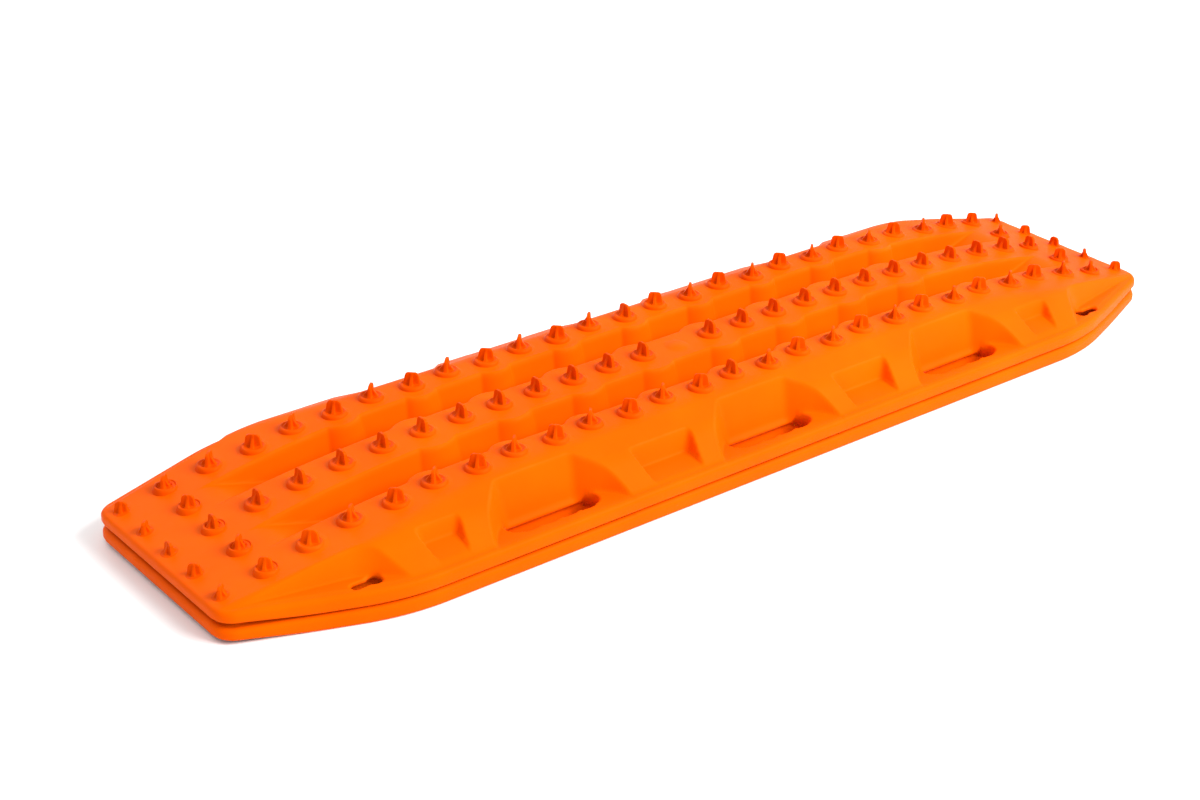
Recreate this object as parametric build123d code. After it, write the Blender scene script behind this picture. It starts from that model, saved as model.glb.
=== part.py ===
from build123d import *
import os
from math import cos, hypot, radians, sin, tan

# A pair of nested traction boards, laid under a stuck wheel for grip.
# Millimetres. Origin: middle of the pair's footprint, on the ground. +X runs along the boards, +Z is up.
# Every height inside one board is counted from that board's own lower edge.

# ---- driving dimensions of one board ----
LENGTH = 1150.0
WIDTH = 330.0
RIDGE_TOP = 52.0
RIM_HEIGHT = 14.5
STACK_STEP = 16.5
BOARDS = ("lower", "upper")

ROOF = 4.0  # thickness of the deck's flat stretches, counted straight down
WALL = 3.0  # thickness of its steep walls, counted level
RIM_WALL = 4.0

HALF_LENGTH = LENGTH / 2
HALF_WIDTH = WIDTH / 2

# ---- plan outline: straight sides, tapered corners ----
TAPER_START = 426.0  # where the side line and the taper line cross
TAPER_ANGLE = 20.3
SHOULDER_RADIUS = 220.0
CORNER_RADIUS = 22.0

# ---- lengthwise profile: level middle, cubic curve, straight ramp at each end ----
CURVE_START = 150.0
CURVE_END = 500.0
RAMP_SLOPE = 0.197
CURVE_DROP = RAMP_SLOPE * (CURVE_END - CURVE_START) / 3

# ---- shoulder between the outer ridges and the rim: distance in from the edge, height ----
SHOULDER = ((0.0, RIM_HEIGHT), (5.0, 15.0), (9.0, 18.0), (27.0, 32.0), (47.0, 43.0), (68.0, RIDGE_TOP))

# ---- channels between the three ridges ----
STATION = 43.0  # pitch of the tooth stations along each ridge
STATIONS = 23
DRAFT = 12.0
CHANNEL_FLOOR = 8.0
CHANNEL_OUTER = 66.0  # outer wall's top edge between its pilasters
CHANNEL_INNER = 24.0  # middle ridge's top edge between its pilasters
CHANNEL_END = 500.0
FLOOR_END = 400.0  # the floor is level up to here, and then climbs to the end plate
FLOOR_SLOPE = 0.255
PILASTER_DEPTH = 8.0
PILASTER_HALF = 20.0
OUTER_PILASTERS = [2 * STATION * k for k in range(-4, 5)]
INNER_PILASTERS = [STATION * k for k in range(-7, 8, 2)]

# ---- hand holes along both sides ----
HANDLE_PITCH = 258.0
HANDLE_DRAFT = 18.0
HANDLE_FLOOR = 14.5
HANDLE_PLAN = ((76.0, 162.0), (71.0, 150.0), (38.0, 119.0))
SLOT_LENGTH = 94.0
SLOT_BACK = 119.5
SLOT_FRONT = 143.0
SLOT_RIM = 4.5
FINGER_RADIUS = 22.0
FINGER_PITCH = 24.0
FINGER_DEPTH = 3.0

# ---- shallow pockets between the hand holes: x, half width, back wall, floor height ----
POCKET_DRAFT = 18.0
POCKETS = ((128.0, 30.0, 134.0, 17.0), (372.0, 23.0, 131.0, 19.0))

# ---- corner pockets, each with a keyhole for a tie-down ----
CORNER_FLOOR = 15.5
CORNER_DRAFT = 20.0
CORNER_PLAN = ((420.0, 185.0), (420.0, 158.0), (441.0, 122.0),
               (541.0, 113.0), (570.0, 128.0), (570.0, 185.0))
KEYHOLE_X = 446.0
KEYHOLE_Y = 142.0
KEYHOLE_RADIUS = 7.0
KEYHOLE_SLOT = 9.0
KEYHOLE_REACH = 22.0

# ---- studs ----
OUTER_RIDGE_EVEN = 82.0
OUTER_RIDGE_ODD = 86.5
INNER_ROW_X = 517.6
OUTER_ROW_X = 560.4
ROW_STEP = 44.0
STUD_HEIGHT = 14.6
END_STUD_HEIGHT = 11.5
COLLAR_RADIUS = 12.5
COLLAR_HEIGHT = 4.0
COLLAR_EDGE = 1.4
FOOT_RADIUS = 8.5
FOOT_HEIGHT = 1.5
BLADE_BASE = 15.0
BLADE_TIP = 9.0
BLADE_THICKNESS = 3.4
GUSSET_REACH = 5.5
GUSSET_WIDTH = 3.2
RECESS_RADIUS = 8.5
RECESS_SKIN = 1.0

GATE_RADIUS = 12.0
GATE_HEIGHT = 2.0

BELOW = -5.0
ABOVE = RIDGE_TOP + 20.0


def deck_height(x):
    """Height of the deck's top surface on its centre line."""
    along = abs(x)
    if along <= CURVE_START:
        return RIDGE_TOP
    if along <= CURVE_END:
        reach = (along - CURVE_START) / (CURVE_END - CURVE_START)
        return RIDGE_TOP - CURVE_DROP * reach**3
    return RIDGE_TOP - CURVE_DROP - RAMP_SLOPE * (along - CURVE_END)


def prism(points, low, high):
    """Upright prism over a closed polygon."""
    return extrude(Pos(0, 0, low) * make_face(Polyline(*points, close=True)), high - low)


def grown(points, distance):
    """A counter-clockwise polygon with every side moved outward, its corners kept sharp."""
    result = []
    count = len(points)
    for k in range(count):
        before, here, after = points[k - 1], points[k], points[(k + 1) % count]
        in_x, in_y = here[0] - before[0], here[1] - before[1]
        out_x, out_y = after[0] - here[0], after[1] - here[1]
        in_len, out_len = hypot(in_x, in_y), hypot(out_x, out_y)
        n1 = (in_y / in_len, -in_x / in_len)
        n2 = (out_y / out_len, -out_x / out_len)
        scale = distance / (1 + n1[0] * n2[0] + n1[1] * n2[1])
        result.append((here[0] + scale * (n1[0] + n2[0]), here[1] + scale * (n1[1] + n2[1])))
    return result


def drafted_cut(plan, plan_height, low, draft, grow):
    """Solid over a plan drawn at plan_height, whose sides lean outward as they rise."""
    lean = tan(radians(draft))
    bottom = grown(plan, grow - (plan_height - low) * lean)
    top = grown(plan, grow + (ABOVE - plan_height) * lean)
    low_face = Pos(0, 0, low) * make_face(Polyline(*bottom, close=True))
    high_face = Pos(0, 0, ABOVE) * make_face(Polyline(*top, close=True))
    return loft([low_face, high_face], ruled=True)


def both_sides(solid):
    """The solid and its mirror image across the board's length."""
    return [solid, mirror(solid, about=Plane.XZ)]


def four_corners(solid):
    """The solid at all four corners of the board."""
    return [twin for half in both_sides(solid) for twin in (half, mirror(half, about=Plane.YZ))]


# ---- outer form ----
def outline(inset):
    """Plan outline of the board as a face, moved in by inset."""
    taper_drop = (HALF_LENGTH - TAPER_START) * tan(radians(TAPER_ANGLE))
    quarter = [(HALF_LENGTH, HALF_WIDTH - taper_drop), (TAPER_START, HALF_WIDTH)]
    left = [(-x, y) for x, y in reversed(quarter)]
    points = quarter + left + [(x, -y) for x, y in reversed(quarter + left)]
    face = make_face(Polyline(*grown(points, -inset), close=True))
    shoulders = face.vertices().filter_by(lambda v: abs(v.X) < TAPER_START + 10)
    face = fillet(shoulders, SHOULDER_RADIUS - inset)
    corners = face.vertices().filter_by(lambda v: abs(v.X) > HALF_LENGTH - inset - 1)
    return fillet(corners, CORNER_RADIUS - inset)


def lengthwise_body(drop):
    """Everything under the lengthwise profile, lowered by drop."""
    top = RIDGE_TOP - drop
    third = (CURVE_END - CURVE_START) / 3
    far = HALF_LENGTH + 10
    shape = [(CURVE_START + third * k, top) for k in range(3)] + [(CURVE_END, top - CURVE_DROP)]
    right = Bezier(*shape)
    left = Bezier(*[(-x, z) for x, z in shape])
    tip = top - CURVE_DROP - RAMP_SLOPE * (far - CURVE_END)
    base = Polyline((CURVE_END, top - CURVE_DROP), (far, tip), (far, BELOW), (-far, BELOW), (-far, tip),
                    (-CURVE_END, top - CURVE_DROP))
    middle = Line((-CURVE_START, top), (CURVE_START, top))
    profile = Plane.XZ * make_face([middle, right, base, left])
    return extrude(profile, WIDTH, both=True)


def shoulder_body(corner, turn, drop):
    """Everything under the shoulder along one edge line, which passes corner at an angle of turn."""
    along = Vector(cos(radians(turn)), -sin(radians(turn)), 0)
    inward = Vector(-sin(radians(turn)), -cos(radians(turn)), 0)
    place = Plane(origin=(*corner, 0), x_dir=inward, z_dir=-along)
    points = [(0, BELOW)] + [(d, z - drop) for d, z in SHOULDER]
    points += [(2 * LENGTH, RIDGE_TOP - drop), (2 * LENGTH, BELOW)]
    return extrude(place * make_face(Polyline(*points, close=True)), 2 * LENGTH, both=True)


def envelope(drop, inset):
    """The board's outer form with no channels or pockets, lowered by drop and moved in by inset."""
    body = extrude(Pos(0, 0, BELOW) * outline(inset), ABOVE - BELOW) & lengthwise_body(drop)
    for side in both_sides(shoulder_body((0, HALF_WIDTH), 0, drop)):
        body = body & side
    for corner in four_corners(shoulder_body((TAPER_START, HALF_WIDTH), TAPER_ANGLE, drop)):
        body = body & corner
    return body


# ---- channels and pockets, also used with grow and drop to shape the underside ----
def above_floor(drop):
    """Everything above the channel floor and its end ramps."""
    level = CHANNEL_FLOOR - drop
    rise = FLOOR_SLOPE * (HALF_LENGTH - FLOOR_END)
    right = [(FLOOR_END, level), (HALF_LENGTH, level + rise), (HALF_LENGTH, ABOVE)]
    left = [(-x, z) for x, z in right[::-1]]
    return extrude(Plane.XZ * make_face(Polyline(*left, *right, close=True)), WIDTH, both=True)


def rectangle(x, half_length, near, far):
    """Counter-clockwise plan rectangle centred on x, from y = near to y = far."""
    left, right = x - half_length, x + half_length
    return [(left, near), (right, near), (right, far), (left, far)]


def pilaster(x, wall, depth, grow):
    """A block that stands out of a channel wall, wider toward its foot; depth is signed."""
    near, far = sorted((wall + depth, wall - 2 * depth))
    return drafted_cut(rectangle(x, PILASTER_HALF, near, far), RIDGE_TOP, BELOW, -DRAFT, -grow)


def channel_cuts(grow, drop):
    """The two channels between the ridges, with staggered pilasters on their walls."""
    plan = rectangle(0, CHANNEL_END, CHANNEL_INNER, CHANNEL_OUTER)
    trench = drafted_cut(plan, RIDGE_TOP, BELOW, DRAFT, grow) & above_floor(drop)
    blocks = [pilaster(x, CHANNEL_OUTER, -PILASTER_DEPTH, grow) for x in OUTER_PILASTERS]
    blocks += [pilaster(x, CHANNEL_INNER, PILASTER_DEPTH, grow) for x in INNER_PILASTERS]
    return both_sides(trench - blocks)


def handle_plan():
    """Plan of a hand hole's recess at its floor, centred on x = 0, open past the rim."""
    right = [(HANDLE_PLAN[0][0], HALF_WIDTH + 20)] + list(HANDLE_PLAN)
    return [(-x, y) for x, y in right] + right[::-1]


def pocket_cuts(grow, drop):
    """The recesses along both sides and at the corners."""
    cuts = []
    for k in (-1, 0, 1):
        recess = drafted_cut(handle_plan(), HANDLE_FLOOR, HANDLE_FLOOR - drop, HANDLE_DRAFT, grow)
        cuts += both_sides(Pos(k * HANDLE_PITCH, 0, 0) * recess)
    for x, half_width, back, floor in POCKETS:
        plan = rectangle(x, half_width, back, HALF_WIDTH + 20)
        cuts += four_corners(drafted_cut(plan, floor, floor - drop, POCKET_DRAFT, grow))
    cuts += four_corners(drafted_cut(CORNER_PLAN, CORNER_FLOOR, CORNER_FLOOR - drop, CORNER_DRAFT, grow))
    return cuts


def form(grow, drop, inset):
    """Outer form at (0, 0, 0); with wall and roof thicknesses, the hollow under the deck."""
    return envelope(drop, inset) - channel_cuts(grow, drop) - pocket_cuts(grow, drop)


# ---- through holes ----
def slot(low, high, grow=0.0):
    """One hand hole: a long round-ended slot with a finger-shaped front edge."""
    width = SLOT_FRONT - SLOT_BACK
    middle = (SLOT_BACK + SLOT_FRONT) / 2
    shape = Pos(0, middle) * SlotOverall(SLOT_LENGTH + 2 * grow, width + 2 * grow)
    for k in (-1, 0, 1):
        centre = SLOT_FRONT + FINGER_DEPTH - FINGER_RADIUS
        shape = shape + Pos(k * FINGER_PITCH, centre) * Circle(FINGER_RADIUS + grow)
    shape = shape & Pos(0, SLOT_BACK - grow + WIDTH / 2) * Rectangle(LENGTH, WIDTH)
    return extrude(Pos(0, 0, low) * shape, high - low)


def slots():
    """The six hand holes."""
    return [s for k in (-1, 0, 1) for s in both_sides(Pos(k * HANDLE_PITCH, 0, 0) * slot(BELOW, ABOVE))]


def slot_rims():
    """Lips under the hand holes' front edges and ends, kept clear of the walls below when nested."""
    plan = grown(handle_plan(), -1.0)
    rim = slot(BELOW, HANDLE_FLOOR, SLOT_RIM) & prism(plan, BELOW, HANDLE_FLOOR)
    return [r for k in (-1, 0, 1) for r in both_sides(Pos(k * HANDLE_PITCH, 0, 0) * rim)]


def keyholes():
    """The four corner keyholes, narrow ends toward the board's ends."""
    hole = Circle(KEYHOLE_RADIUS) + Pos(KEYHOLE_REACH / 2, 0) * SlotOverall(KEYHOLE_REACH, KEYHOLE_SLOT)
    return four_corners(extrude(Pos(KEYHOLE_X, KEYHOLE_Y, BELOW) * hole, ABOVE - BELOW))


# ---- studs: a collar and a gusseted blade, each a piece of its own ----
def stud(height, foot_radius, foot_height, edge):
    """A stud standing on z = 0, its blade along +X; the foot runs down for trimming to the deck."""
    foot = Pos(0, 0, (foot_height + BELOW) / 2) * Cylinder(foot_radius, foot_height - BELOW)
    foot = chamfer(foot.edges().group_by(Axis.Z)[-1], edge)
    base, tip = BLADE_BASE / 2, BLADE_TIP / 2
    face = Polyline((-base, 0), (base, 0), (tip, height), (-tip, height), close=True)
    blade = extrude(Plane.XZ * make_face(face), BLADE_THICKNESS / 2, both=True)
    rib = Polyline((-GUSSET_REACH, 0), (GUSSET_REACH, 0), (0, height), close=True)
    gusset = extrude(Plane.YZ * make_face(rib), GUSSET_WIDTH / 2, both=True)
    return foot + blade + gusset


def ridge_stations(first, last):
    """Station numbers and x positions from first to last, counted from the board's -X end."""
    middle = (STATIONS + 1) // 2
    return [(number, (number - middle) * STATION) for number in range(first, last + 1)]


def blade_turn(x, y, flip):
    """Angle of a blade on an outer ridge, mirrored in both of the board's centre lines."""
    quadrant = (1 if x > 0 else -1) * (1 if y > 0 else -1)
    return 45.0 * quadrant * flip


def ridge_studs(side, first, last):
    """Places (x, y, turn) of the studs on one ridge; side is -1, 0 or +1."""
    places = []
    for number, x in ridge_stations(first, last):
        even = number % 2 == 0
        y = side * (OUTER_RIDGE_EVEN if even else OUTER_RIDGE_ODD)
        crosswise = side == 0 or x == 0
        places.append((x, y, 90.0 if crosswise else blade_turn(x, y, 1 if even else -1)))
    return places


def end_row(x, flip):
    """Places of the five studs across one end plate."""
    places = []
    for k in range(-2, 3):
        y = k * ROW_STEP
        places.append((x, y, 90.0 if k == 0 else blade_turn(x, y, flip if k % 2 == 0 else -flip)))
    return places


def stud_groups():
    """Node name ending, and the places and tall/low kind of its studs."""
    middle = (STATIONS + 1) // 2
    centre = ridge_studs(-1, middle, middle) + ridge_studs(1, middle, middle)
    groups = {"ridge_studs_centre": (centre, True)}
    for name, side in (("near", -1), ("middle", 0), ("far", 1)):
        groups[f"{name}_ridge_studs_left"] = (ridge_studs(side, 1, middle - 1), True)
        groups[f"{name}_ridge_studs_right"] = (ridge_studs(side, middle + 1, STATIONS), True)
    for name, sign in (("left", -1), ("right", 1)):
        groups[f"{name}_end_inner_studs"] = (end_row(sign * INNER_ROW_X, -1), True)
        groups[f"{name}_end_outer_studs"] = (end_row(sign * OUTER_ROW_X, 1), False)
    return groups


def place_studs(places, tall, trim):
    """The studs of one node, their feet trimmed to the deck's top surface."""
    if tall:
        pattern = stud(STUD_HEIGHT, COLLAR_RADIUS, COLLAR_HEIGHT, COLLAR_EDGE)
    else:
        pattern = stud(END_STUD_HEIGHT, FOOT_RADIUS, FOOT_HEIGHT, FOOT_HEIGHT / 2)
    return [Pos(x, y, deck_height(x)) * Rot(0, 0, turn) * pattern - trim for x, y, turn in places]


# ---- deck ----
def stud_recesses():
    """Pockets in the underside that take the tips of the studs on the board below."""
    columns = []
    for places, tall in stud_groups().values():
        if tall:
            columns += [Pos(x, y, 0) * Cylinder(RECESS_RADIUS, 2 * ABOVE) for x, y, _ in places]
    return Compound(columns) & envelope(RECESS_SKIN, RIM_WALL)


def deck():
    """One board without its studs: a ribbed shell, open underneath."""
    hollow = form(WALL, ROOF, RIM_WALL) - slot_rims()
    gate = Pos(0, 0, RIDGE_TOP) * Cone(GATE_RADIUS, GATE_RADIUS / 2, 2 * GATE_HEIGHT)
    shell = form(0, 0, 0) - hollow - slots() - keyholes() + gate
    shell = shell - stud_recesses().solids()
    ground = Pos(0, 0, ABOVE) * Box(2 * LENGTH, 2 * WIDTH, 2 * ABOVE)
    return shell & ground


def main():
    os.makedirs("parts", exist_ok=True)
    board = {"deck": [deck()]}
    trim = envelope(0, 0)
    for name, (places, tall) in stud_groups().items():
        board[name] = place_studs(places, tall, trim)
    for level, label in enumerate(BOARDS):
        for name, solids in board.items():
            lift = Pos(0, 0, level * STACK_STEP)
            node = Compound([lift * solid for shape in solids for solid in shape.solids()])
            export_step(node, f"parts/{label}_{name}.step")


main()
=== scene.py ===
import math

import bmesh
import bpy
import numpy as np
from mathutils import Matrix, Vector


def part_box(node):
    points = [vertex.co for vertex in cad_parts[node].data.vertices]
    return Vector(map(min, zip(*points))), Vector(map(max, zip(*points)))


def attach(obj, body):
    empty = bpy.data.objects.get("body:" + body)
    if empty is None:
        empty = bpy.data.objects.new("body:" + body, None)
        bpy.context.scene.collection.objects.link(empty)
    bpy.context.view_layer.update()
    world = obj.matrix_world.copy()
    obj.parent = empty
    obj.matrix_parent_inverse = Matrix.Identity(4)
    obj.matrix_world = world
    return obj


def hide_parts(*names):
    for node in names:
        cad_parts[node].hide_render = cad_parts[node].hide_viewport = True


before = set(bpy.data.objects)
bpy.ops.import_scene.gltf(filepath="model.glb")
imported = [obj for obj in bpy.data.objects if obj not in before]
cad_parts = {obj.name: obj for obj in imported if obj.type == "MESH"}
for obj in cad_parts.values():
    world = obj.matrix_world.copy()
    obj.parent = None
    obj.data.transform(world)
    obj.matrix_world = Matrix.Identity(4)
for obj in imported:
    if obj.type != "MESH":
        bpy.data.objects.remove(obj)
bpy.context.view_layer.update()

# Two nested traction boards. Lengths are in millimetres until a mesh is made, and then metres.
# One board: +X along it, heights from its own lower edge. It is the same in all four quarters.
MM = 0.001

# ---- sizes of one board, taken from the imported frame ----
low_corner, high_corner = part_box("lower_deck")
HALF_LENGTH = round((high_corner.x - low_corner.x) / 2 / MM, 3)
HALF_WIDTH = round((high_corner.y - low_corner.y) / 2 / MM, 3)
STACK_STEP = round((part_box("upper_deck")[0].z - low_corner.z) / MM, 3)

# ---- thicknesses ----
ROOF = 4.0  # measured straight down
WALL = 3.0  # measured across the steep walls
THINNEST = 0.8
NEST_GAP = 0.4  # least height between one board's underside and the next one's top

# ---- rim ----
RIM_EDGE = 5.0  # radius of its upper edge
RIM_FOOT = 3.2  # radius of its lower edge
RIM_WALL = 4.0
UNDER_INSET = 4.8  # where the underside meets the rim's inner side
END_LIFT = 3.5  # how far its underside rises at the board's ends
END_LIFT_START = 490.0

# ---- outline ----
TAPER_START = 426.0
TAPER_ANGLE = math.radians(20.3)
SHOULDER_RADIUS = 220.0
CORNER_RADIUS = 22.0

# ---- lengthwise profile ----
RIDGE_TOP = 52.0
CURVE_START = 150.0
CURVE_END = 500.0
RAMP_SLOPE = 0.197
CURVE_DROP = RAMP_SLOPE * (CURVE_END - CURVE_START) / 3

# ---- slopes beside the outer ridges: distance in from the edge, height there, rise per millimetre ----
UPPER_SLOPE = (38.0, 40.0, 0.417)
LOWER_SLOPE = (7.0, 15.2, 0.84)
LIP_SLOPE = (0.0, 14.6, 0.04)

# ---- channels ----
STATION = 43.0
STATIONS = 23
MIDDLE_STATION = (STATIONS + 1) // 2
WALL_SLOPE = 1 / math.tan(math.radians(12.0))
CHANNEL_FLOOR = 8.0
CHANNEL_OUTER = 66.0
CHANNEL_INNER = 24.0
FLOOR_END = 400.0
FLOOR_SLOPE = 0.255
OUTER_BULGE = 23.5  # radius of the ridges' bulges round the studs
INNER_BULGE = 31.0
OUTER_REACH = 9 * STATION  # no bulges beyond this along the outer ridges
INNER_REACH = 8 * STATION
EDGE_RADIUS = 2.4

# ---- hand holes; blends are the rounding at a recess's floor and at its upper edge ----
HANDLE_PITCH = 258.0
HANDLE_FLOOR = 14.5
HANDLE_SLOPE = 1 / math.tan(math.radians(18.0))
HANDLE_CORNER = (38.0, 119.0)  # where the back wall turns into the side walls
HANDLE_SIDE = (71.0, 148.0)  # where a side wall turns outward
HANDLE_END = (76.0, 162.0)
HANDLE_BLENDS = (2.5, 1.4)
WALL_FOOT = 7.0  # height at which the recess's back wall ends above the slot
SLOT_HALF = 50.0
SLOT_BACK = 124.0
SLOT_FRONT = 149.0
SLOT_RIM = 4.5  # width of the wall that hangs down round the slot's front and ends
SLOT_RIM_DRAFT = 6.0
FINGER_PITCH = 21.0
FINGER_DEPTH = 2.6

# ---- shallow pockets: x, half width, back wall, floor height at the back, floor slope ----
POCKETS = ((126.0, 29.5, 131.0, 20.5, 0.16), (373.0, 18.0, 131.0, 25.0, 0.29))
POCKET_SLOPE = 1 / math.tan(math.radians(18.0))
POCKET_BLENDS = (2.0, 1.8)

# ---- corner pockets and keyholes ----
CORNER_FLOOR = 15.5
CORNER_SLOPE = 1 / math.tan(math.radians(26.0))
CORNER_END = (415.5, 158.0)
CORNER_BACK = (446.0, 129.0)
CORNER_TIP = (541.0, 111.5)
CORNER_BLENDS = (2.5, 1.6)
KEYHOLE = (445.0, 139.5)
KEYHOLE_RADIUS = 7.0
KEYHOLE_SLOT = 4.5
KEYHOLE_REACH = 17.5

# ---- studs ----
OUTER_RIDGE_EVEN = 82.0
OUTER_RIDGE_ODD = 86.5
INNER_ROW_X = 517.6
OUTER_ROW_X = 560.4
ROW_STEP = 44.0
# kind of stud: height, ring radius (none on the outer end rows), blade's half width at its foot and tip
STUD_KINDS = {
    "ridge": (14.6, 12.2, 8.0, 5.9),
    "inner": (13.4, 10.8, 6.6, 4.9),
    "outer": (10.2, None, 6.2, 4.6),
}
# a ring's outline from under the deck, over the top and in: distance out from the ring radius, height
RING_OUTLINE = ((-4.0, -1.2), (0.9, -2.2), (0.5, 0.1), (0.2, 1.2), (-0.4, 2.3), (-1.3, 3.2), (-2.3, 3.6),
                (-3.1, 3.5), (-3.8, 3.1), (-4.2, 2.9))
# the low foot of a stud with no ring: distance out from the blade's foot, height
FOOT_OUTLINE = ((2.6, -2.2), (2.2, 0.0), (1.4, 0.5), (0.9, 0.7))
BLADE_CROWN = 2.8  # height over which the blade's top is rounded
RING_HEIGHT = 3.0  # what is lower than this follows the end ramps' slope
RECESS_RADIUS = 8.5
RECESS_SKIN = 1.0
PAD_RADIUS = 16.5
PAD_HEIGHT = 0.8
GATE_RADIUS = 12.0
GATE_HEIGHT = 2.0


# ---------------------------------------------------------------- smooth helpers
def smooth_min(a, b, blend):
    """The lower of two fields, blended where they differ by less than blend."""
    h = np.clip(1 - np.abs(a - b) / blend, 0, None)
    return np.minimum(a, b) - h * h * blend / 4


def smooth_max(a, b, blend):
    """The higher of two fields, blended the same way."""
    return -smooth_min(-a, -b, blend)


def smooth_step(low, high, value):
    """0 below low, 1 above high, with a smooth turn between."""
    t = np.clip((value - low) / (high - low), 0, 1)
    return t * t * (3 - 2 * t)


def rolled_edge(across, radius, slope):
    """Drop below the upper level at a distance across from a wall's top edge, which is rolled over."""
    length = math.hypot(1, slope)
    flat_end = radius * (length - 1) / slope
    wall_start = flat_end - radius * slope / length
    arc = radius - np.sqrt(np.clip(radius**2 - (across - flat_end) ** 2, 0, None))
    return np.where(across > flat_end, 0, np.where(across > wall_start, arc, -slope * across))


# ---------------------------------------------------------------- outline
def half_width(x, inset):
    """Half width of the outline moved in by inset, at a distance x from the middle."""
    tangent = SHOULDER_RADIUS * math.tan(TAPER_ANGLE / 2)
    arc_start = TAPER_START - tangent
    arc_end = arc_start + (SHOULDER_RADIUS - inset) * math.sin(TAPER_ANGLE)
    corner_x = HALF_LENGTH - CORNER_RADIUS
    taper_y = HALF_WIDTH - (corner_x - TAPER_START) * math.tan(TAPER_ANGLE)
    corner_y = taper_y - CORNER_RADIUS / math.cos(TAPER_ANGLE)
    corner_start = corner_x + (CORNER_RADIUS - inset) * math.sin(TAPER_ANGLE)
    x = np.abs(x)
    straight = np.full_like(x, HALF_WIDTH - inset)
    arc = HALF_WIDTH - SHOULDER_RADIUS + np.sqrt(
        np.clip((SHOULDER_RADIUS - inset) ** 2 - (x - arc_start) ** 2, 0, None))
    taper = HALF_WIDTH - (x - TAPER_START) * math.tan(TAPER_ANGLE) - inset / math.cos(TAPER_ANGLE)
    corner = corner_y + np.sqrt(np.clip((CORNER_RADIUS - inset) ** 2 - (x - corner_x) ** 2, 0, None))
    return np.select([x < arc_start, x < arc_end, x < corner_start], [straight, arc, taper], corner)


def edge_distance(x, y):
    """Distance in from the side and taper edges."""
    side = HALF_WIDTH - y
    taper = (HALF_WIDTH - y) * math.cos(TAPER_ANGLE) - (x - TAPER_START) * math.sin(TAPER_ANGLE)
    return smooth_min(side, taper, 12.0)


# ---------------------------------------------------------------- the deck as a height field, one quarter
def deck_level(x):
    """Height of the ridges and end plates."""
    reach = (np.clip(x, CURVE_START, CURVE_END) - CURVE_START) / (CURVE_END - CURVE_START)
    return RIDGE_TOP - CURVE_DROP * reach**3 - RAMP_SLOPE * np.clip(x - CURVE_END, 0, None)


def slope_height(slope, distance):
    """Height of a straight slope at a distance in from the edge."""
    start, height, rise = slope
    return height + rise * (distance - start)


def shoulder_level(distance):
    """Height of the slope between the outer ridges and the rim."""
    upper = smooth_min(slope_height(UPPER_SLOPE, distance), RIDGE_TOP + 0 * distance, 3.0)
    slope = smooth_min(upper, slope_height(LOWER_SLOPE, distance), 3.0)
    return smooth_max(slope, slope_height(LIP_SLOPE, distance), 1.5)


def channel_distance(x, y, grow):
    """Signed distance in plan to the channels at ridge height: positive in the ridges."""
    wall = np.maximum(y - CHANNEL_OUTER, CHANNEL_INNER - y) - grow
    period = 2 * STATION
    near_even = x - period * np.round(x / period)
    near_odd = x - STATION - period * np.round((x - STATION) / period)
    outer = np.where(x < OUTER_REACH, OUTER_BULGE - np.hypot(near_even, y - OUTER_RIDGE_EVEN), -50.0)
    inner = np.where(x < INNER_REACH, INNER_BULGE - np.hypot(near_odd, y), -50.0)
    return smooth_max(wall, np.maximum(outer, inner) - grow, 0.8)


def cut_channels(x, y, level, grow, drop):
    """The deck level with the two channels sunk into it."""
    distance = channel_distance(x, y, grow)
    across = distance + (RIDGE_TOP - drop - level) / WALL_SLOPE
    walls = level - rolled_edge(across, EDGE_RADIUS, WALL_SLOPE)
    floor = CHANNEL_FLOOR - drop + FLOOR_SLOPE * smooth_max(x - FLOOR_END, 0 * x, 24.0)
    floor = smooth_min(floor, level, 5.0)
    blend = 0.01 + 5.0 * np.clip((level - floor - 1.0) / 6.0, 0, 1)
    return smooth_max(walls, floor, blend)


def line_distance(start, end, x, y):
    """Signed distance from a line in plan, positive to the left of the way from end to start."""
    (x1, y1), (x2, y2) = start, end
    return ((x2 - x1) * (y1 - y) + (y2 - y1) * (x - x1)) / math.hypot(x2 - x1, y2 - y1)


def from_handle(x):
    """Distance along the board from the nearest hand hole's middle."""
    return np.abs(x - HANDLE_PITCH * np.clip(np.round(x / HANDLE_PITCH), 0, 1))


def handle_distance(x, y):
    """Signed distance in plan to a hand hole's recess at its floor, negative inside."""
    dx = from_handle(x)
    wall = smooth_max(HANDLE_CORNER[1] - y, line_distance(HANDLE_CORNER, HANDLE_SIDE, dx, y), 3.0)
    return smooth_max(wall, line_distance(HANDLE_SIDE, HANDLE_END, dx, y), 10.0)


def corner_distance(x, y):
    """Signed distance in plan to a corner pocket at its floor, negative inside."""
    inner = line_distance(CORNER_END, CORNER_BACK, x, y)
    return smooth_max(inner, line_distance(CORNER_BACK, CORNER_TIP, x, y), 8.0)


def cut_recess(height, distance, level, slope, bottom, blends):
    """The surface with a drafted recess sunk into it; its walls pass level at distance 0."""
    floor_blend, edge_blend = blends
    walls = level + slope * distance
    return smooth_min(height, smooth_max(walls, bottom + 0 * walls, floor_blend), edge_blend)


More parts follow.
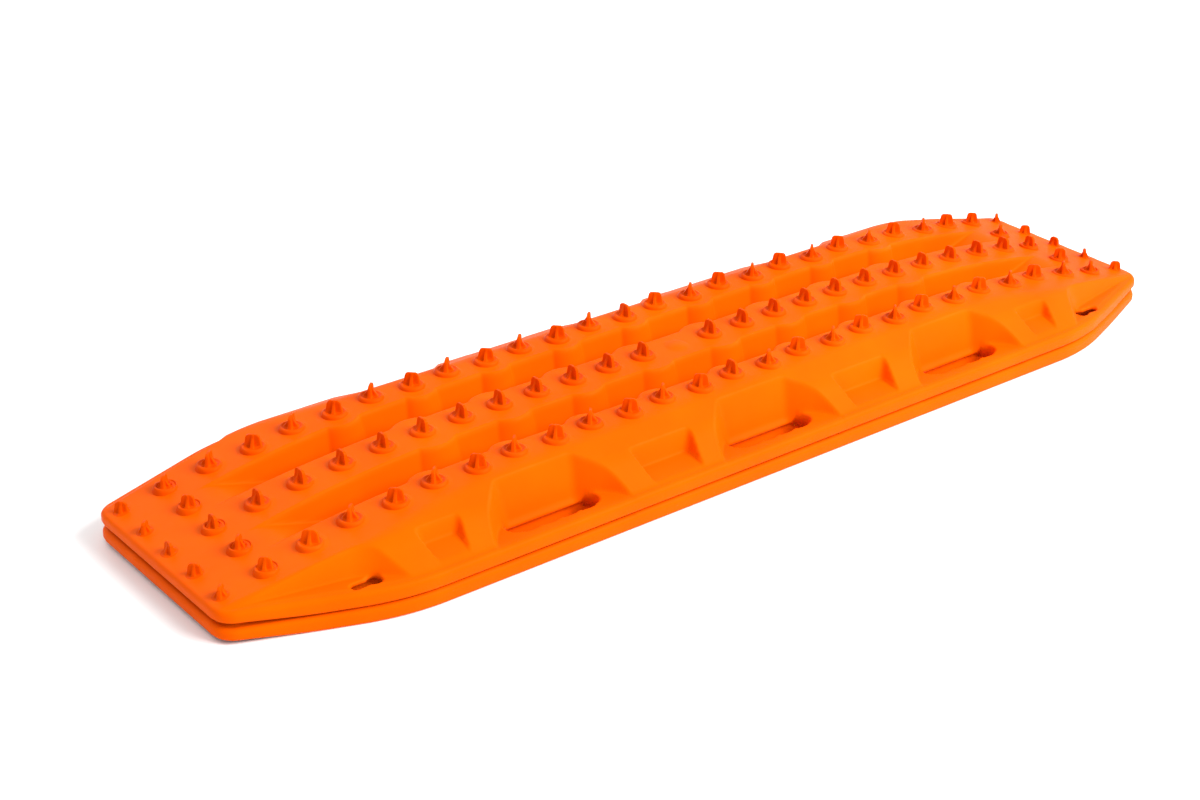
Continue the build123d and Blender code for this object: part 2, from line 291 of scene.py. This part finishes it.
def cut_pockets(x, y, height, grow, drop):
    """The surface with the hand holes' recesses and the other pockets sunk into it."""
    level = HANDLE_FLOOR - drop
    beside_slot = smooth_step(SLOT_HALF, SLOT_HALF - 6, from_handle(x))
    behind_slot = smooth_step(9.0, 5.0, y - HANDLE_CORNER[1])
    bottom = level - (HANDLE_FLOOR - WALL_FOOT) * (behind_slot * beside_slot)
    distance = handle_distance(x, y) - grow
    height = cut_recess(height, distance, level, HANDLE_SLOPE, bottom, HANDLE_BLENDS)
    for centre, half, back, floor, fall in POCKETS:
        distance = smooth_max(np.abs(x - centre) - half, back - y, 5.0) - grow
        bottom = floor - drop - fall * np.clip(y - back, 0, None)
        height = cut_recess(height, distance, floor - drop, POCKET_SLOPE, bottom, POCKET_BLENDS)
    level = CORNER_FLOOR - drop
    return cut_recess(height, corner_distance(x, y) - grow, level, CORNER_SLOPE, level, CORNER_BLENDS)


def slot_distance(x, y):
    """Signed distance in plan to the hand holes, negative inside."""
    dx = from_handle(x)
    radius = (SLOT_FRONT - SLOT_BACK) / 2
    across = y - SLOT_BACK - radius
    middle = smooth_step(2 * FINGER_PITCH, 1.7 * FINGER_PITCH, dx)
    front = smooth_step(-2.0, 8.0, across)
    fingers = FINGER_DEPTH * np.abs(np.sin(math.pi * dx / FINGER_PITCH)) * middle * front
    return np.hypot(np.clip(dx - SLOT_HALF + radius, 0, None), across) - radius - fingers


def keyhole_distance(x, y):
    """Signed distance in plan to a keyhole, negative inside."""
    dx, dy = x - KEYHOLE[0], y - KEYHOLE[1]
    round_end = np.hypot(dx, dy) - KEYHOLE_RADIUS
    slot = np.hypot(dx - np.clip(dx, 0, KEYHOLE_REACH), dy) - KEYHOLE_SLOT
    return smooth_min(round_end, slot, 1.5)


def hole_distance(x, y):
    """Signed distance in plan to every through hole of the board."""
    x, y = np.abs(x), np.abs(y)
    return np.minimum(slot_distance(x, y), keyhole_distance(x, y))


# ---------------------------------------------------------------- where the studs stand
def blade_turn(x, y, flip):
    """A blade's angle, mirrored in both centre lines of the board."""
    quadrant = (1 if x > 0 else -1) * (1 if y > 0 else -1)
    return 45.0 * quadrant * flip


def ridge_studs(side, first, last):
    """Places (x, y, turn) of the studs on one ridge; side is -1, 0 or +1."""
    places = []
    for number in range(first, last + 1):
        x = (number - MIDDLE_STATION) * STATION
        even = number % 2 == 0
        y = side * (OUTER_RIDGE_EVEN if even else OUTER_RIDGE_ODD)
        crosswise = side == 0 or x == 0
        places.append((x, y, 90.0 if crosswise else blade_turn(x, y, 1 if even else -1)))
    return places


def end_row(x, flip):
    """Places of the five studs across one end plate."""
    places = []
    for k in range(-2, 3):
        y = k * ROW_STEP
        places.append((x, y, 90.0 if k == 0 else blade_turn(x, y, flip if k % 2 == 0 else -flip)))
    return places


def stud_groups():
    """The ending of each stud node's name, its studs' places and their kind."""
    centre = [place for side in (-1, 1) for place in ridge_studs(side, MIDDLE_STATION, MIDDLE_STATION)]
    groups = {"ridge_studs_centre": (centre, "ridge")}
    for name, side in (("near", -1), ("middle", 0), ("far", 1)):
        groups[f"{name}_ridge_studs_left"] = (ridge_studs(side, 1, MIDDLE_STATION - 1), "ridge")
        groups[f"{name}_ridge_studs_right"] = (ridge_studs(side, MIDDLE_STATION + 1, STATIONS), "ridge")
    for name, sign in (("left", -1), ("right", 1)):
        groups[f"{name}_end_inner_studs"] = (end_row(sign * INNER_ROW_X, -1), "inner")
        groups[f"{name}_end_outer_studs"] = (end_row(sign * OUTER_ROW_X, 1), "outer")
    return groups


def quarter_places(*kinds):
    """Centres of the studs of some kinds in the quarter with x and y at or above zero."""
    places = [place for studs, kind in stud_groups().values() if kind in kinds for place in studs]
    return sorted({(x, y) for x, y, _ in places if x >= 0 and y >= 0})


def add_bumps(x, y, height, places, radius, rise):
    """The surface raised softly round each place."""
    for cx, cy in places:
        distance = np.hypot(x - cx, y - cy)
        height = height + rise * smooth_step(radius, radius - 5.0, distance)
    return height


# ---------------------------------------------------------------- top and underside
def top_height(x, y):
    """The board's top surface."""
    x, y = np.abs(x), np.abs(y)
    level = deck_level(x)
    height = cut_channels(x, y, level, 0.0, 0.0)
    height = smooth_min(height, shoulder_level(edge_distance(x, y)), 3.0)
    height = cut_pockets(x, y, height, 0.0, 0.0)
    height = add_bumps(x, y, height, quarter_places("ridge"), PAD_RADIUS, PAD_HEIGHT)
    height = add_bumps(x, y, height, quarter_places("inner", "outer"), PAD_RADIUS - 3, PAD_HEIGHT / 2)
    dome = np.clip(1 - (np.hypot(x, y) / GATE_RADIUS) ** 2, 0, 1)
    height = height + GATE_HEIGHT * dome**0.75
    hole = hole_distance(x, y)
    lip = 1.5
    return height - lip * (1 - np.sqrt(np.clip(1 - np.clip(1 - hole / lip, 0, 1) ** 2, 0, 1)))


def under_height(x, y):
    """The board's underside, nested closely enough for the next board's studs."""
    x, y = np.abs(x), np.abs(y)
    height = cut_channels(x, y, deck_level(x) - ROOF, WALL, ROOF)
    height = smooth_min(height, shoulder_level(edge_distance(x, y)) - ROOF, 3.0)
    height = cut_pockets(x, y, height, WALL, ROOF)
    recess = deck_level(x) - RECESS_SKIN
    for cx, cy in quarter_places("ridge", "inner"):
        inside = smooth_step(RECESS_RADIUS + 0.8, RECESS_RADIUS - 0.8, np.hypot(x - cx, y - cy))
        height = height + (recess - height) * inside
    front = smooth_step(SLOT_BACK, SLOT_BACK + 3, y)
    slot_rim = SLOT_RIM_DRAFT * (slot_distance(x, y) - SLOT_RIM) + 60.0 * (1 - front)
    height = smooth_min(height, np.clip(slot_rim, 0, None), 1.5)
    top = top_height(x, y)
    next_board = np.clip(top - STACK_STEP + NEST_GAP, 0.0, None)
    return np.clip(height, next_board, top - THINNEST)


# ---------------------------------------------------------------- grid
def spaced(stops):
    """Values from 0 up through (end, step) stretches."""
    values = [0.0]
    for end, step in stops:
        start = values[-1]
        count = max(1, round((end - start) / step))
        values += [start + (end - start) * k / count for k in range(1, count + 1)]
    return np.array(values)


def grid_lines(coarse):
    """Grid lines along x and across y for one quarter, closer where walls and edges are."""
    along = [(410.0, 1.4), (476.0, 1.2), (556.0, 1.8), (HALF_LENGTH, 1.1)]
    across = [(18.0, 2.6), (70.0, 0.9), (100.0, 2.0), (150.0, 1.05), (HALF_WIDTH, 1.3)]
    return (spaced([(end, step * coarse) for end, step in along]),
            spaced([(end, step * coarse) for end, step in across]))


def placed(u, v, inset):
    """Board position of grid coordinates, for an outline moved in by inset."""
    end_band = 35.0
    inner = HALF_LENGTH - end_band
    x = np.where(u > inner, inner + (u - inner) * (end_band - inset) / end_band, u)
    limit = half_width(x, inset)
    keep = limit - 30.0
    y = np.where(v > keep, keep + (v - keep) * (limit - keep) / (HALF_WIDTH - keep), v)
    return x, y


def snap_to_holes(x, y, rim):
    """Moves the vertices round the through holes onto the holes' outlines."""
    step = 0.05
    for _ in range(4):
        distance = hole_distance(x, y)
        gx = (hole_distance(x + step, y) - hole_distance(x - step, y)) / (2 * step)
        gy = (hole_distance(x, y + step) - hole_distance(x, y - step)) / (2 * step)
        norm = np.maximum(gx**2 + gy**2, 0.2)
        x = np.where(rim, x - distance * gx / norm, x)
        y = np.where(rim, y - distance * gy / norm, y)
    return x, y


def kept_cells(grid_u, grid_v):
    """Which cells of the grid are deck, not hole, and which grid points stand round a hole."""
    middle_u = (grid_u[1:, 1:] + grid_u[:-1, :-1]) / 2
    middle_v = (grid_v[1:, 1:] + grid_v[:-1, :-1]) / 2
    kept = hole_distance(*placed(middle_u, middle_v, RIM_EDGE)) > 0
    rows, columns = grid_u.shape
    beside = np.zeros((rows, columns), int)
    for du in (0, 1):
        for dv in (0, 1):
            beside[du:rows - 1 + du, dv:columns - 1 + dv] += ~kept
    cells = np.full((rows, columns), 4)
    cells[[0, -1], :] //= 2
    cells[:, [0, -1]] //= 2
    return kept, (beside > 0) & (beside < cells)


def surface_points(grid_u, grid_v, hole_rim, inset, height):
    """The grid's points on the top or the underside."""
    x, y = placed(grid_u, grid_v, inset)
    x, y = snap_to_holes(x, y, hole_rim)
    return np.stack([x, y, height(x, y)], -1).reshape(-1, 3)


def surface_quads(kept, at):
    """A quad on every kept cell; at holds the index of each grid point."""
    i, j = np.nonzero(kept)
    return np.stack([at[i, j], at[i + 1, j], at[i + 1, j + 1], at[i, j + 1]], -1)


def hole_walls(kept, top, under):
    """Quads between the top and the underside wherever a kept cell borders a hole."""
    rows, columns = kept.shape
    quads = []
    for di, dj in ((1, 0), (0, 1)):
        near = kept[:rows - di, :columns - dj]
        far = kept[di:, dj:]
        for solid, gap, facing_up in ((near, far, True), (far, near, False)):
            a, b = np.nonzero(solid & ~gap)
            corner = (a + 1, b + 1)
            first, last = ((a + 1, b), corner) if di else (corner, (a, b + 1))
            if not facing_up:
                first, last = last, first
            quads.append(np.stack([top[last], top[first], under[first], under[last]], -1))
    return quads


def border_of(grid):
    """The values along the grid's outer side and then back along its outer end."""
    return np.concatenate([grid[:, -1], grid[-1, -2::-1]])


def deck_quarter(coarse):
    """Vertices and quads of one quarter of the deck: top, underside, hole walls and rim."""
    grid_u, grid_v = np.meshgrid(*grid_lines(coarse), indexing="ij")
    kept, hole_rim = kept_cells(grid_u, grid_v)
    top = np.arange(grid_u.size).reshape(grid_u.shape)
    under = top + grid_u.size
    points = [surface_points(grid_u, grid_v, hole_rim, RIM_EDGE, top_height),
              surface_points(grid_u, grid_v, hole_rim, UNDER_INSET, under_height)]
    quads = [surface_quads(kept, top), surface_quads(kept, under)[:, ::-1]] + hole_walls(kept, top, under)

    border_u, border_v = border_of(grid_u), border_of(grid_v)
    top_z = points[0][border_of(top), 2]
    lift = END_LIFT * smooth_step(END_LIFT_START, HALF_LENGTH, border_u)
    loops = [border_of(top)]
    count = 2 * grid_u.size
    for inset, z in rim_profile(top_z, lift):
        x, y = placed(border_u, border_v, inset)
        points.append(np.stack([x, y, z + 0 * x], -1))
        loops.append(count + np.arange(len(x)))
        count += len(x)
    loops.append(border_of(under))
    for upper, lower in zip(loops, loops[1:]):
        quads.append(np.stack([upper[:-1], upper[1:], lower[1:], lower[:-1]], -1))
    return np.concatenate(points), np.concatenate(quads)


def rim_profile(top_z, lift):
    """(inset, height) down the rim's outside, under it and up its inner side; lift raises its underside."""
    arc = [math.pi / 2 * k / 6 for k in range(7)]
    outer = [(RIM_EDGE * (1 - math.sin(a)), top_z - RIM_EDGE * (1 - math.cos(a))) for a in arc[1:]]
    belt = [(0.0, (top_z - RIM_EDGE + RIM_FOOT + lift) / 2)]
    foot = [(RIM_FOOT * (1 - math.cos(a)), lift + RIM_FOOT * (1 - math.sin(a))) for a in arc]
    inner = [(RIM_WALL - 0.3, lift), (RIM_WALL, lift + 0.5), (RIM_WALL + 0.4, lift + 4.0)]
    return outer + belt + foot + inner


def mirrored(points, quads):
    """The whole deck from its quarter."""
    all_points, all_quads = [], []
    for flip_x, flip_y in ((1, 1), (-1, 1), (-1, -1), (1, -1)):
        shifted = quads + len(points) * len(all_points)
        all_quads.append(shifted if flip_x == flip_y else shifted[:, ::-1])
        all_points.append(points * (flip_x, flip_y, 1))
    return np.concatenate(all_points), np.concatenate(all_quads)


def new_mesh(name, points, quads):
    """A smooth-shaded mesh in metres, its doubled points merged."""
    mesh = bpy.data.meshes.new(name)
    mesh.from_pydata((points * MM).tolist(), [], quads.tolist())
    work = bmesh.new()
    work.from_mesh(mesh)
    bmesh.ops.remove_doubles(work, verts=work.verts, dist=2e-5)
    work.to_mesh(mesh)
    work.free()
    mesh.shade_smooth()
    return mesh


def make_deck_mesh():
    """The deck's mesh, shared by both boards."""
    points, quads = mirrored(*deck_quarter(1.2))
    return new_mesh("deck", points, quads)


# ---------------------------------------------------------------- studs
def rounded_polygon(corners, radius, straight):
    """Points round a closed polygon, each corner cut to three points and each side divided."""
    points = []
    count = len(corners)
    for k in range(count):
        before, here, after = (np.array(corners[(k + s) % count]) for s in (-1, 0, 1))
        to_before = (before - here) / np.linalg.norm(before - here)
        to_after = (after - here) / np.linalg.norm(after - here)
        start, end = here + to_before * radius, here + to_after * radius
        points += [start, (start + 2 * here + end) / 4, end]
        finish = after + (here - after) / np.linalg.norm(after - here) * radius
        points += [end + (finish - end) * s / (straight + 1) for s in range(1, straight + 1)]
    return np.array(points)


def blade_section(length, thick, reach, width, edge):
    """Cross-section of the blade and its gusset: a plus with rounded corners."""
    quarter = [(length, thick), (width, thick), (width, reach)]
    second = [(-x, y) for x, y in reversed(quarter)]
    corners = quarter + second + [(-x, -y) for x, y in quarter + second]
    return rounded_polygon(corners, edge, 1)


def ring(radius, count, start):
    """A circle with as many points as a blade section."""
    angles = start + 2 * math.pi * np.arange(count) / count
    return np.stack([radius * np.cos(angles), radius * np.sin(angles)], -1)


def stud_section(kind, rise, grow):
    """The blade's section a share of the way up, every side moved out by grow."""
    _, _, foot, tip = STUD_KINDS[kind]
    thick = 1.8 - 0.45 * rise
    width = 1.5 - 0.4 * rise
    reach = max(0.78 * foot * (1 - rise / 0.9), thick + 0.3)
    length = foot + (tip - foot) * rise
    edge = 0.45 * min(0.9, reach - thick)
    return blade_section(length + grow, thick + grow, reach + grow, width + grow, edge)


def stud_levels(kind):
    """(points, height) of every cross-section of a stud, from the deck up."""
    height, ring_radius, foot, tip = STUD_KINDS[kind]
    count = len(stud_section(kind, 0.0, 0.0))
    start = math.atan2(1.8, foot)
    if ring_radius:
        body = [(ring_radius + out, z) for out, z in RING_OUTLINE]
    else:
        body = [(foot + out, z) for out, z in FOOT_OUTLINE]
    levels = [(ring(radius, count, start), z) for radius, z in body]
    base = body[-1][1]
    for rise, grow in ((0.1, 0.8), (0.5, 0.3), (1.0, 0.05)):
        levels.append((stud_section(kind, 0.0, grow), base + rise))
    blade = height - base - 1.0
    for share in (0.25, 0.5, 0.7, 1 - BLADE_CROWN / blade):
        levels.append((stud_section(kind, share, 0.0), base + 1.0 + blade * share))
    for k in range(1, 6):
        angle = math.pi / 2 * k / 6
        z = height - BLADE_CROWN * (1 - math.sin(angle)) - 0.05
        section = stud_section(kind, (z - base - 1.0) / blade, 0.0)
        section = section * np.array([1 - BLADE_CROWN * (1 - math.cos(angle)) / tip, 1 - 0.04 * k])
        levels.append((section, z))
    levels.append((levels[-1][0] * 0.86, height))
    return levels


def stud_mesh(kind):
    """Vertices and faces of one stud, standing on z = 0 with its blade along x."""
    levels = stud_levels(kind)
    count = len(levels[0][0])
    points = np.concatenate([np.column_stack([section, np.full(count, z)]) for section, z in levels])
    faces = []
    for level in range(len(levels) - 1):
        for k in range(count):
            a, b = level * count + k, level * count + (k + 1) % count
            faces.append((a, b, b + count, a + count))
    faces.append(tuple(range(count - 1, -1, -1)))
    faces.append(tuple(range(len(points) - count, len(points))))
    return points, faces


def make_stud_group(name, places, kind):
    """All the studs of one node as one mesh, in the board's own frame."""
    pattern, faces = stud_mesh(kind)
    points, all_faces = [], []
    for x, y, turn in places:
        c, s = math.cos(math.radians(turn)), math.sin(math.radians(turn))
        stud = pattern @ np.array([[c, s, 0], [-s, c, 0], [0, 0, 1]])
        if abs(x) > CURVE_END:
            tilt = -RAMP_SLOPE * np.clip(stud[:, 0] * np.sign(x), -20, 20)
            stud[:, 2] += np.where(stud[:, 2] < RING_HEIGHT, tilt, 0)
        offset = len(points) * len(pattern)
        points.append(stud + np.array([x, y, float(deck_level(np.array(abs(x), float)))]))
        all_faces += [tuple(index + offset for index in face) for face in faces]
    mesh = bpy.data.meshes.new(name)
    mesh.from_pydata((np.concatenate(points) * MM).tolist(), [], all_faces)
    mesh.shade_smooth()
    mesh.set_sharp_from_angle(angle=math.radians(58))
    return mesh


# ---------------------------------------------------------------- materials
DECK_COLOURS = ((0.74, 0.08, 0.0, 1), (0.76, 0.088, 0.0, 1), (0.79, 0.099, 0.0, 1))
# The studs are the same plastic as the deck; their darker shades are painted shade, standing in for the
# shade on the blades and rings.
STUD_SHADED_COLOURS = ((0.64, 0.054, 0.0, 1), (0.67, 0.063, 0.0, 1), (0.71, 0.074, 0.0, 1))
# paler pinkish orange for convex edges: partly rubbed wear, partly a painted highlight
EDGE_WEAR_AND_HIGHLIGHT = (0.85, 0.17, 0.02, 1)


def node(tree, kind, **values):
    """A shader node with its named inputs and properties set."""
    made = tree.nodes.new(kind)
    for key, value in values.items():
        if key in made.inputs:
            made.inputs[key].default_value = value
        else:
            setattr(made, key, value)
    return made


def add_pigment(tree, place, shader, colours):
    """Cloudy colour from dark to light, paler in patches on convex edges: partly rubbed wear, partly a
    painted highlight.
    """
    link = tree.links.new
    cloud = node(tree, "ShaderNodeTexNoise", Scale=9.0, Detail=5.0, Roughness=0.55)
    ramp = tree.nodes.new("ShaderNodeValToRGB")
    dark, base, light = colours
    ramp.color_ramp.elements[0].position = 0.32
    ramp.color_ramp.elements[0].color = dark
    ramp.color_ramp.elements[1].position = 0.70
    ramp.color_ramp.elements[1].color = light
    middle = ramp.color_ramp.elements.new(0.5)
    middle.color = base
    link(place, cloud.inputs["Vector"])
    link(cloud.outputs["Fac"], ramp.inputs["Fac"])

    shape = tree.nodes.new("ShaderNodeNewGeometry")
    edges = node(tree, "ShaderNodeMapRange", **{"From Min": 0.52, "From Max": 0.62, "To Max": 0.5})
    patches = node(tree, "ShaderNodeTexNoise", Scale=35.0, Detail=4.0, Roughness=0.6)
    spots = node(tree, "ShaderNodeMapRange", **{"From Min": 0.45, "From Max": 0.7})
    # convex edges in patches, where the paler colour gives rubbed wear and a painted highlight
    wear_and_highlight = node(tree, "ShaderNodeMath", operation="MULTIPLY")
    mix = node(tree, "ShaderNodeMix", data_type="RGBA")
    mix.inputs["B"].default_value = EDGE_WEAR_AND_HIGHLIGHT
    link(shape.outputs["Pointiness"], edges.inputs["Value"])
    link(place, patches.inputs["Vector"])
    link(patches.outputs["Fac"], spots.inputs["Value"])
    link(edges.outputs["Result"], wear_and_highlight.inputs[0])
    link(spots.outputs["Result"], wear_and_highlight.inputs[1])
    link(wear_and_highlight.outputs["Value"], mix.inputs["Factor"])
    link(ramp.outputs["Color"], mix.inputs["A"])
    link(mix.outputs["Result"], shader.inputs["Base Color"])


def add_scuffs(tree, place, shader, roughness):
    """Roughness that varies a little from place to place."""
    scuff = node(tree, "ShaderNodeTexNoise", Scale=60.0, Detail=6.0, Roughness=0.65)
    polish = node(tree, "ShaderNodeMapRange", **{"To Min": roughness - 0.07, "To Max": roughness + 0.08})
    tree.links.new(place, scuff.inputs["Vector"])
    tree.links.new(scuff.outputs["Fac"], polish.inputs["Value"])
    tree.links.new(polish.outputs["Result"], shader.inputs["Roughness"])


def add_grain(tree, place, shader, strength):
    """The mould's fine grain, as a bump."""
    fine = node(tree, "ShaderNodeTexNoise", Scale=900.0, Detail=3.0, Roughness=0.6)
    bump = node(tree, "ShaderNodeBump", Strength=strength, Distance=0.0004)
    tree.links.new(place, fine.inputs["Vector"])
    tree.links.new(fine.outputs["Fac"], bump.inputs["Height"])
    tree.links.new(bump.outputs["Normal"], shader.inputs["Normal"])


def moulded_plastic(name, colours, roughness, grain):
    """Satin moulded plastic; colours are its darkest, usual and lightest shades."""
    material = bpy.data.materials.new(name)
    material.use_nodes = True
    tree = material.node_tree
    shader = tree.nodes["Principled BSDF"]
    shader.inputs["IOR"].default_value = 1.5
    shader.inputs["Specular IOR Level"].default_value = 0.03
    shader.inputs["Specular Tint"].default_value = (1.0, 0.45, 0.12, 1)
    place = tree.nodes.new("ShaderNodeTexCoord").outputs["Object"]
    add_pigment(tree, place, shader, colours)
    add_scuffs(tree, place, shader, roughness)
    add_grain(tree, place, shader, grain)
    return material


# ---------------------------------------------------------------- placing the pieces
def add_piece(name, mesh, material, body, lift):
    """A piece that stands for the CAD node of the same name."""
    piece = bpy.data.objects.new(name + "_skin", mesh)
    if not mesh.materials:
        mesh.materials.append(material)
    bpy.context.scene.collection.objects.link(piece)
    piece.location.z = lift * MM
    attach(piece, body)
    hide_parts(name)
    return piece


def build_boards():
    """Both boards, from one deck mesh and one mesh for each stud group."""
    deck_material = moulded_plastic("orange_deck", DECK_COLOURS, roughness=0.42, grain=0.25)
    # the studs' material carries painted shade: darker copies of the deck's orange
    stud_shaded_material = moulded_plastic("orange_studs_painted_shade", STUD_SHADED_COLOURS, roughness=0.38, grain=0.2)
    deck_mesh = make_deck_mesh()
    groups = {name: make_stud_group(name, places, kind) for name, (places, kind) in stud_groups().items()}
    for lift, board in ((0.0, "lower"), (STACK_STEP, "upper")):
        add_piece(f"{board}_deck", deck_mesh, deck_material, f"{board}_board", lift)
        for name, mesh in groups.items():
            add_piece(f"{board}_{name}", mesh, stud_shaded_material, f"{board}_board", lift)


# ---------------------------------------------------------------- camera, floor and light
CAMERA_PLACE = (-1.2500, -1.4584, 0.9726)
CAMERA_TURN = math.radians(-38.3566)
CAMERA_TILT = math.radians(63.2884)
CAMERA_ROLL = math.radians(0.4830)


def add_camera():
    """The viewpoint: low, from the front left, through a long lens."""
    camera = bpy.data.cameras.new("camera")
    camera.sensor_width = 36.0
    camera.lens = 64.56
    camera.clip_end = 50.0
    holder = bpy.data.objects.new("camera", camera)
    turn = Matrix.Rotation(CAMERA_TURN, 4, "Z")
    tilt = Matrix.Rotation(CAMERA_TILT, 4, "X")
    roll = Matrix.Rotation(CAMERA_ROLL, 4, "Z")
    holder.matrix_world = Matrix.Translation(CAMERA_PLACE) @ turn @ tilt @ roll
    bpy.context.scene.collection.objects.link(holder)
    bpy.context.scene.camera = holder


def add_floor():
    """A plain pale floor."""
    mesh = bpy.data.meshes.new("floor")
    size = 12.0
    corners = [(-size, -size, 0), (size, -size, 0), (size, size, 0), (-size, size, 0)]
    mesh.from_pydata(corners, [], [(0, 1, 2, 3)])
    floor = bpy.data.objects.new("floor", mesh)
    material = bpy.data.materials.new("floor")
    material.use_nodes = True
    shader = material.node_tree.nodes["Principled BSDF"]
    shader.inputs["Base Color"].default_value = (0.9, 0.9, 0.9, 1)
    shader.inputs["Roughness"].default_value = 0.6
    mesh.materials.append(material)
    bpy.context.scene.collection.objects.link(floor)


def add_light(name, place, size, power):
    """A soft rectangular light aimed at the boards."""
    light = bpy.data.lights.new(name, "AREA")
    light.shape = "RECTANGLE"
    light.size, light.size_y = size
    light.energy = power
    holder = bpy.data.objects.new(name, light)
    holder.location = place
    holder.rotation_mode = "QUATERNION"
    holder.rotation_quaternion = (-Vector(place)).to_track_quat("-Z", "Y")
    bpy.context.scene.collection.objects.link(holder)


def add_studio():
    """Soft studio light from the front right and a little from behind, in an even white surround."""
    add_light("key", (1.4, -2.3, 2.2), (2.4, 1.8), 205)
    add_light("back", (-0.6, 2.4, 1.8), (2.6, 1.0), 20)
    world = bpy.data.worlds.new("surround")
    world.use_nodes = True
    world.node_tree.nodes["Background"].inputs["Color"].default_value = (1, 1, 1, 1)
    world.node_tree.nodes["Background"].inputs["Strength"].default_value = 0.86
    bpy.context.scene.world = world
    bpy.context.scene.view_settings.view_transform = "Standard"


add_camera()
add_floor()
add_studio()
build_boards()
